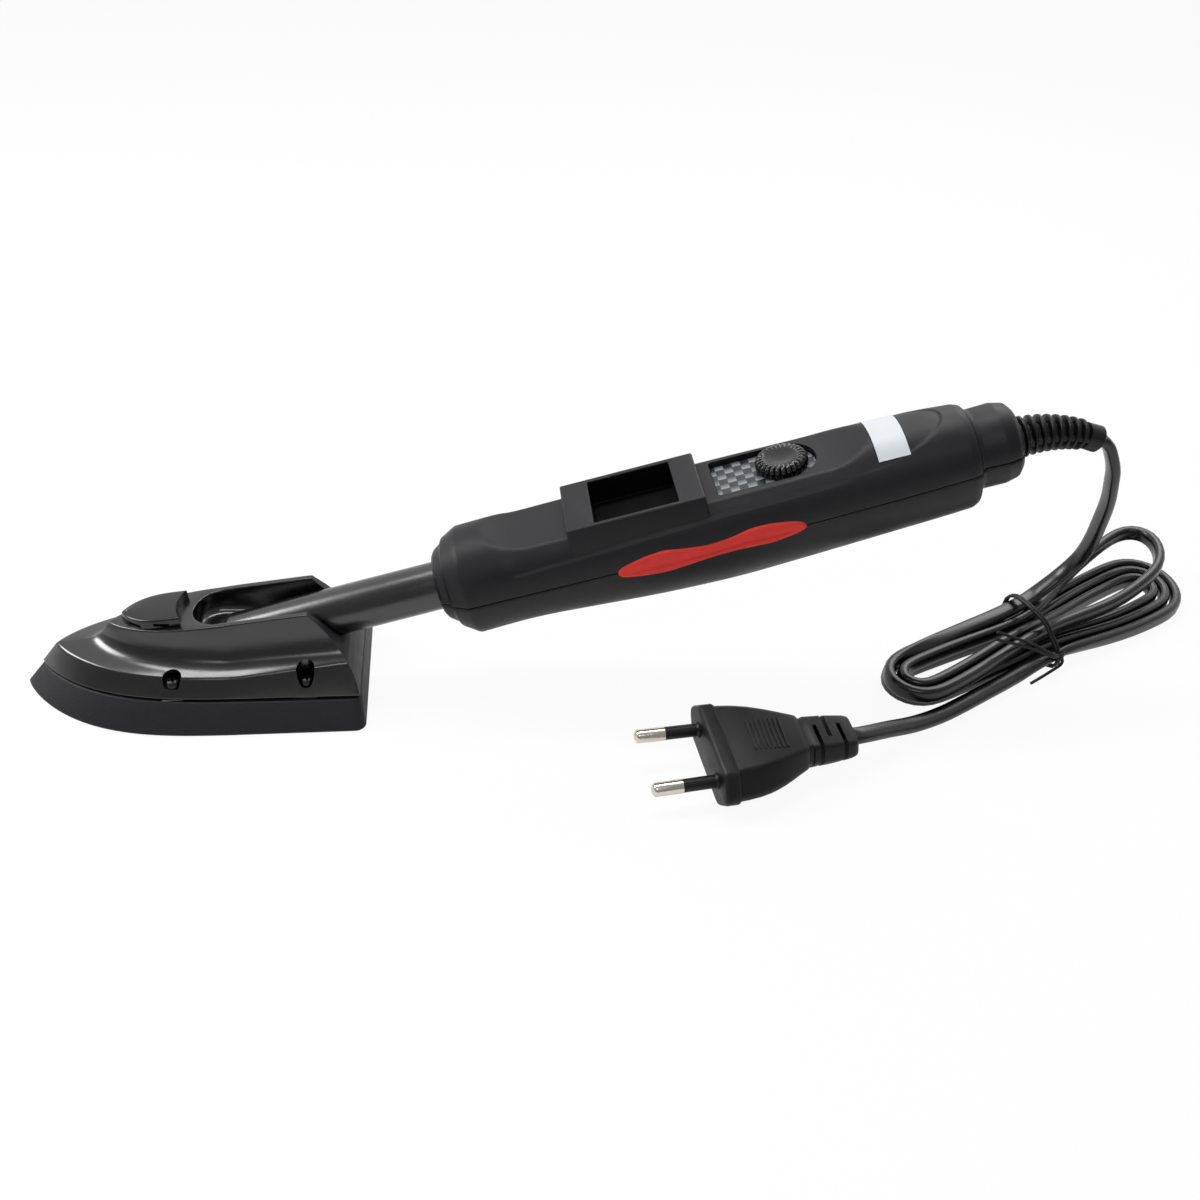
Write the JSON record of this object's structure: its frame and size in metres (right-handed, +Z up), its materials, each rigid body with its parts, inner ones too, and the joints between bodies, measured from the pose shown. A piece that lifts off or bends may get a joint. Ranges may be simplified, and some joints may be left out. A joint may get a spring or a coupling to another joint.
{
  "type": "sealing iron",
  "caption": "Sealing iron for covering film: pointed heated shoe, neck tube, handle with side grips, display recess and temperature dial, and a mains cord tied in a hank with its plug.",
  "frame": {"origin": "middle of the sole's flat heating face, which lies on Z = 0", "axes": "+X from the shoe's tip towards the handle and the cord, +Z up, +Y completes the right-handed frame"},
  "size_m": [0.3824, 0.1201, 0.0941],
  "materials": {
    "ptfe_coated_aluminium": "matt charcoal PTFE coating",
    "satin_black_casting": "satin black paint on a die casting",
    "black_painted_steel": "gloss black paint",
    "soft_touch_black": "moulded ABS, fine matt grain",
    "red_rubber": "matt moulded rubber",
    "carbon_look_decal": "printed film, satin",
    "gloss_black_abs": "polished moulding",
    "white_label": "blank coated label",
    "black_pvc": "moulded soft PVC, satin",
    "black_pvc_cord": "extruded flat PVC cord, satin",
    "black_tie_wire": "PVC-coated tie wire",
    "nickel_plated_brass": "nickel plated",
    "black_zinc_steel": "black zinc plated",
    "zinc_plated_steel": "zinc plated",
    "plated_steel": "tin plated",
    "brushed_steel": "turned",
    "cast_aluminium": "as cast",
    "tinned_brass": "tinned",
    "mica": "mica sheet",
    "glass": "glass bead",
    "green_laminate": "solder-masked glass laminate",
    "black_epoxy": "moulded epoxy",
    "yellow_film": "plastic case",
    "ceramic_white": "glazed tube",
    "white_sleeving": "woven glass sleeving",
    "blue_sleeving": "PVC insulation"
  },
  "bodies": {
    "iron": {"sole_plate": "ptfe_coated_aluminium", "sole_cover": "satin_black_casting", "vent_cap": "satin_black_casting", "cover_screw_front_left": "black_zinc_steel", "cover_screw_front_right": "black_zinc_steel", "cover_screw_rear_left": "black_zinc_steel", "cover_screw_rear_right": "black_zinc_steel", "heating_element": "mica", "heater_clamp_plate": "zinc_plated_steel", "clamp_screw": "black_zinc_steel", "temperature_sensor": "glass", "thermal_fuse": "tinned_brass", "tube_bracket": "cast_aluminium", "bracket_screw_left": "black_zinc_steel", "bracket_screw_right": "black_zinc_steel", "neck_tube": "black_painted_steel", "upper_handle_shell": "soft_touch_black", "lower_handle_shell": "soft_touch_black", "grip_insert_left": "red_rubber", "grip_insert_right": "red_rubber", "decal_plate": "carbon_look_decal", "blank_sticker": "white_label", "potentiometer": "plated_steel", "control_board": "green_laminate", "triac": "black_epoxy", "film_capacitor": "yellow_film", "dropper_resistor": "ceramic_white", "board_screw_front": "black_zinc_steel", "board_screw_rear": "black_zinc_steel", "handle_screw_front": "black_zinc_steel", "handle_screw_rear_left": "black_zinc_steel", "handle_screw_rear_right": "black_zinc_steel", "heater_lead_left": "white_sleeving", "heater_lead_right": "white_sleeving", "sensor_lead": "white_sleeving", "mains_lead_left": "blue_sleeving", "mains_lead_right": "blue_sleeving", "strain_relief": "black_pvc", "cord_lead": "black_pvc_cord", "cord_hank": "black_pvc_cord", "hank_tie": "black_tie_wire", "cord_tail": "black_pvc_cord", "plug_body": "black_pvc", "plug_pin_left": "nickel_plated_brass", "plug_pin_right": "nickel_plated_brass", "pin_sleeve_left": "black_pvc", "pin_sleeve_right": "black_pvc"},
    "dial": {"dial_knob": "gloss_black_abs", "potentiometer_shaft": "brushed_steel"}
  },
  "joints": [
    {"name": "dial_turn", "type": "hinge", "parent": "iron", "child": "dial", "pos_m": [0.1688, 0, 0.07404], "axis": [-0.2907, 0, 0.9568], "range_deg": [-150, 150]}
  ]
}
